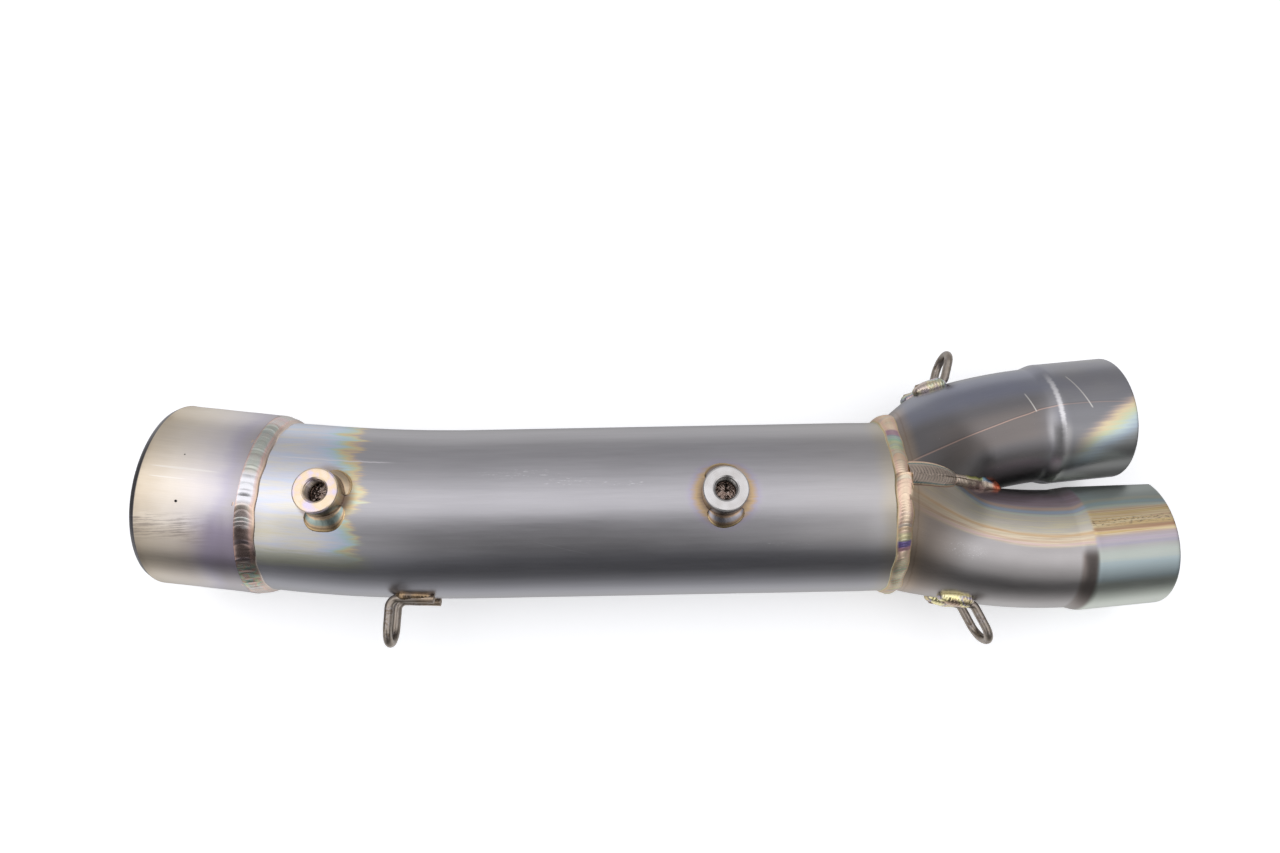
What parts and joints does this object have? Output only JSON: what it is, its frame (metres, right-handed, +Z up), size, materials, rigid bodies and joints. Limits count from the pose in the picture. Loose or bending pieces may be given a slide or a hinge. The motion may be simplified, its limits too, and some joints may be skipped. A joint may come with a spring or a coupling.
{
  "type": "exhaust header pipe",
  "caption": "Y-shaped exhaust link pipe: bent inlet legs with expanded sockets merge into a straight main tube that ends in a slip sleeve; threaded bosses, wire spring hooks, rippled welds.",
  "frame": {"origin": "middle of the bounding box, on the floor that the pipe rests on", "axes": "+X along the main tube towards the inlet sockets; +Y to the rear leg side; +Z up, the way the bosses point"},
  "size_m": [0.356, 0.1088, 0.07],
  "materials": {
    "sleeve_straw": "brushed, heat-tinted warm straw",
    "tube_graphite": "brushed, heat-tinted grey",
    "leg_rear": "brushed, heat-tinted grey with a rainbow band at the mouth",
    "leg_front": "brushed, heat-tinted grey with blue and gold bands",
    "boss_warm": "machined, straw and lilac tint",
    "boss_silver": "machined, bare",
    "wire": "dull grey-brown wire",
    "weld_salmon": "rippled weld bead, salmon with teal edges",
    "weld_crotch": "rippled weld bead, grey with colour fringes",
    "weld_gold": "weld patch, gold with blue-green middle"
  },
  "bodies": {
    "root": {"outlet_sleeve": "sleeve_straw", "main_pipe": "tube_graphite", "inlet_pipe_rear": "leg_rear", "inlet_pipe_front": "leg_front", "boss_outlet_end": "boss_warm", "boss_inlet_end": "boss_silver", "spring_hook_outlet": "wire", "spring_hook_rear": "wire", "spring_hook_front": "wire", "weld_sleeve_ring": "weld_salmon", "weld_collector_ring": "weld_salmon", "weld_crotch_top": "weld_crotch", "weld_crotch_underside": "weld_crotch", "weld_boss_outlet_end": "weld_gold", "weld_boss_inlet_end": "weld_gold", "weld_hook_outlet": "weld_crotch", "weld_hook_rear": "weld_crotch", "weld_hook_front": "weld_crotch"}
  },
  "joints": []
}
